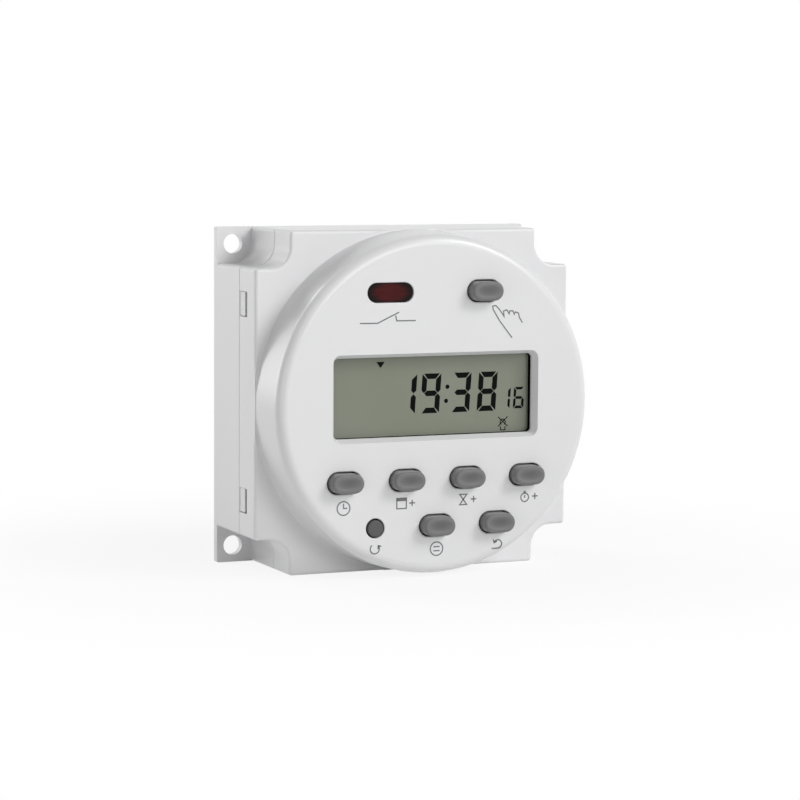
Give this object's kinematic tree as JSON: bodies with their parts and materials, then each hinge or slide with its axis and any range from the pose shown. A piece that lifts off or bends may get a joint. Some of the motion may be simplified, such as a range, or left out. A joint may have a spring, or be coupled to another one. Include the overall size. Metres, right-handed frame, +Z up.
{
  "type": "digital timer switch",
  "caption": "Square timer switch with corner ears, a round raised front, a display, an indicator window, oval keys and push-on terminals in the back.",
  "frame": {"origin": "centre of the four ear holes, on the plane that the ears rest on", "axes": "+X to the viewer's right, +Z up the face, -Y out of the face towards the viewer"},
  "size_m": [0.06, 0.032, 0.06],
  "materials": {
    "housing_plastic": "white ABS, fine satin mould finish",
    "polariser_film": "clear film over a grey-green display",
    "display_glass": "thin flat glass",
    "reflector_film": "silvery reflector film",
    "holder_plastic": "white moulded frame",
    "strip_rubber": "pink silicone with fine carbon layers",
    "lens_plastic": "dark red clear plastic",
    "lamp_epoxy": "red diffused epoxy",
    "key_silicone": "grey silicone",
    "reset_silicone": "darker grey silicone",
    "carbon_rubber": "conductive carbon rubber",
    "board_laminate": "green coated glass-epoxy board",
    "black_epoxy": "cast black epoxy",
    "bright_steel": "nickel-plated steel",
    "pin_gold": "gold-flashed brass",
    "link_plastic": "black moulded bar",
    "capacitor_box": "yellow moulded case",
    "capacitor_sleeve": "dark blue shrink sleeve",
    "resistor_ceramic": "glazed chip",
    "varistor_coating": "blue dipped coating",
    "fuse_plastic": "dark brown moulded cap",
    "blade_brass": "tin-plated brass strip",
    "relay_plastic": "black moulded cover",
    "bobbin_plastic": "natural nylon",
    "copper_winding": "enamelled copper wire",
    "soft_iron": "plated soft iron",
    "contact_bronze": "phosphor bronze with a silver button"
  },
  "bodies": {
    "housing": {"front_cover": "housing_plastic", "rear_case": "housing_plastic", "display_front_polariser": "polariser_film", "display_front_glass": "display_glass", "display_rear_glass": "display_glass", "display_reflector": "reflector_film", "display_holder": "holder_plastic", "contact_strips": "strip_rubber", "indicator_lens": "lens_plastic", "indicator_lamp": "lamp_epoxy", "keypad_mat": "key_silicone", "manual_key_mat": "key_silicone", "key_webs": "key_silicone", "display_board": "board_laminate", "display_board_screws": "bright_steel", "processor_cap": "black_epoxy", "clock_crystal": "bright_steel", "backup_cell": "bright_steel", "cell_tabs": "bright_steel", "board_link_bar": "link_plastic", "board_link_pins": "pin_gold", "power_board": "board_laminate", "power_board_screws": "bright_steel", "film_capacitor": "capacitor_box", "filter_capacitor": "capacitor_sleeve", "rectifier_diodes": "black_epoxy", "chip_resistors": "resistor_ceramic", "varistor": "varistor_coating", "fuse": "fuse_plastic", "terminal_blades": "blade_brass", "relay_base": "relay_plastic", "relay_cover": "relay_plastic", "relay_pins": "bright_steel", "relay_bobbin": "bobbin_plastic", "relay_coil": "copper_winding", "relay_core": "soft_iron", "relay_yoke": "soft_iron", "relay_fixed_contact": "contact_bronze"},
    "manual_button": {"manual_key": "key_silicone", "manual_key_pill": "carbon_rubber"},
    "clock_button": {"clock_key": "key_silicone", "clock_key_pill": "carbon_rubber"},
    "day_button": {"day_key": "key_silicone", "day_key_pill": "carbon_rubber"},
    "hour_button": {"hour_key": "key_silicone", "hour_key_pill": "carbon_rubber"},
    "minute_button": {"minute_key": "key_silicone", "minute_key_pill": "carbon_rubber"},
    "program_button": {"program_key": "key_silicone", "program_key_pill": "carbon_rubber"},
    "recall_button": {"recall_key": "key_silicone", "recall_key_pill": "carbon_rubber"},
    "reset_button": {"reset_key": "reset_silicone", "reset_key_pill": "carbon_rubber"},
    "armature": {"relay_armature": "soft_iron", "relay_moving_contact": "contact_bronze"}
  },
  "joints": [
    {"name": "manual_key_press", "type": "slide", "parent": "housing", "child": "manual_button", "axis": [0, 1, 0], "range_m": [0, 0.0009], "stiffness_N_per_m": 800, "springref_m": -0.0005, "deforming": ["key_webs"]},
    {"name": "clock_key_press", "type": "slide", "parent": "housing", "child": "clock_button", "axis": [0, 1, 0], "range_m": [0, 0.0009], "stiffness_N_per_m": 800, "springref_m": -0.0005, "deforming": ["key_webs"]},
    {"name": "day_key_press", "type": "slide", "parent": "housing", "child": "day_button", "axis": [0, 1, 0], "range_m": [0, 0.0009], "stiffness_N_per_m": 800, "springref_m": -0.0005, "deforming": ["key_webs"]},
    {"name": "hour_key_press", "type": "slide", "parent": "housing", "child": "hour_button", "axis": [0, 1, 0], "range_m": [0, 0.0009], "stiffness_N_per_m": 800, "springref_m": -0.0005, "deforming": ["key_webs"]},
    {"name": "minute_key_press", "type": "slide", "parent": "housing", "child": "minute_button", "axis": [0, 1, 0], "range_m": [0, 0.0009], "stiffness_N_per_m": 800, "springref_m": -0.0005, "deforming": ["key_webs"]},
    {"name": "program_key_press", "type": "slide", "parent": "housing", "child": "program_button", "axis": [0, 1, 0], "range_m": [0, 0.0009], "stiffness_N_per_m": 800, "springref_m": -0.0005, "deforming": ["key_webs"]},
    {"name": "recall_key_press", "type": "slide", "parent": "housing", "child": "recall_button", "axis": [0, 1, 0], "range_m": [0, 0.0009], "stiffness_N_per_m": 800, "springref_m": -0.0005, "deforming": ["key_webs"]},
    {"name": "reset_key_press", "type": "slide", "parent": "housing", "child": "reset_button", "axis": [0, 1, 0], "range_m": [0, 0.0009], "stiffness_N_per_m": 800, "springref_m": -0.0005, "deforming": ["key_webs"]},
    {"name": "armature_hinge", "type": "hinge", "parent": "housing", "child": "armature", "pos_m": [-0.005, -0.0168, -0.0075], "axis": [0, -1, 0], "range_deg": [0, 4], "stiffness_Nm_per_rad": 0.01, "springref_deg": -2.86}
  ]
}
